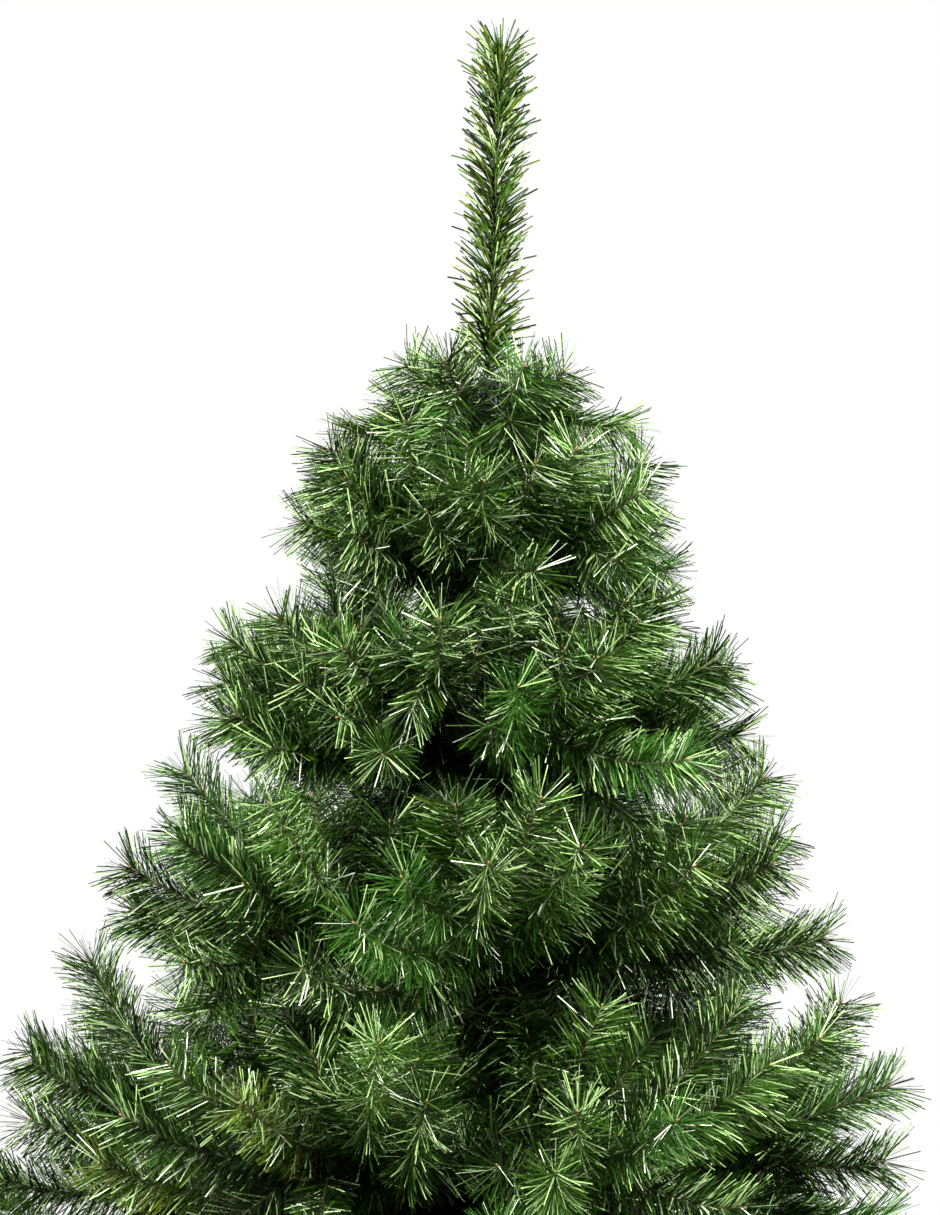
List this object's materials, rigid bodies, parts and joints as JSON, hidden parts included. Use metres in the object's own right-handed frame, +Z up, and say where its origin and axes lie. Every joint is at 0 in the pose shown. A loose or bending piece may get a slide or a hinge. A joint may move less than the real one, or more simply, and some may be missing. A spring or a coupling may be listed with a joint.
{
  "type": "artificial christmas tree",
  "caption": "Undecorated artificial Christmas tree: tiers of wire boughs wound with flat PVC needles on a steel pole, a brush for a leader, and a plain folding-leg stand.",
  "frame": {"origin": "on the floor under the pole, at the middle of the stand", "axes": "+Z up along the pole; +Y away from the side that the picture shows; +X to that side's right"},
  "size_m": [1.1548, 1.178, 1.8],
  "materials": {
    "pole_paint": "dark green powder coat, satin",
    "wound_wire": "brown-green lacquered twisted wire",
    "needles": "cut flat PVC film, semi-gloss",
    "stand_paint": "green baked enamel on steel tube",
    "boots": "moulded black plastic"
  },
  "bodies": {
    "root": {"trunk": "pole_paint", "leader": "needles", "limb_5_1": "wound_wire", "limb_5_2": "wound_wire", "limb_5_3": "wound_wire", "limb_5_4": "wound_wire", "limb_5_5": "wound_wire", "limb_5_6": "wound_wire", "limb_6_1": "wound_wire", "limb_6_2": "wound_wire", "limb_6_3": "wound_wire", "limb_6_4": "wound_wire", "limb_6_5": "wound_wire", "limb_6_6": "wound_wire", "mass_1_1": "needles", "mass_1_2": "needles", "mass_1_3": "needles", "mass_1_4": "needles", "mass_1_5": "needles", "mass_1_6": "needles", "mass_2_1": "needles", "mass_2_2": "needles", "mass_2_3": "needles", "mass_2_4": "needles", "mass_2_5": "needles", "mass_2_6": "needles", "mass_3_1": "needles", "mass_3_2": "needles", "mass_3_3": "needles", "mass_3_4": "needles", "mass_3_5": "needles", "mass_3_6": "needles", "mass_4_1": "needles", "mass_4_2": "needles", "mass_4_3": "needles", "mass_4_4": "needles", "mass_4_5": "needles", "mass_4_6": "needles", "mass_5_1": "needles", "mass_5_2": "needles", "mass_5_3": "needles", "mass_5_4": "needles", "mass_5_5": "needles", "mass_5_6": "needles", "mass_6_1": "needles", "mass_6_2": "needles", "mass_6_3": "needles", "mass_6_4": "needles", "mass_6_5": "needles", "mass_6_6": "needles", "stand_socket": "stand_paint", "stand_screw": "boots", "stand_leg_1": "stand_paint", "stand_leg_2": "stand_paint", "stand_leg_3": "stand_paint", "stand_leg_4": "stand_paint", "stand_foot_1": "boots", "stand_foot_2": "boots", "stand_foot_3": "boots", "stand_foot_4": "boots"}
  },
  "joints": []
}
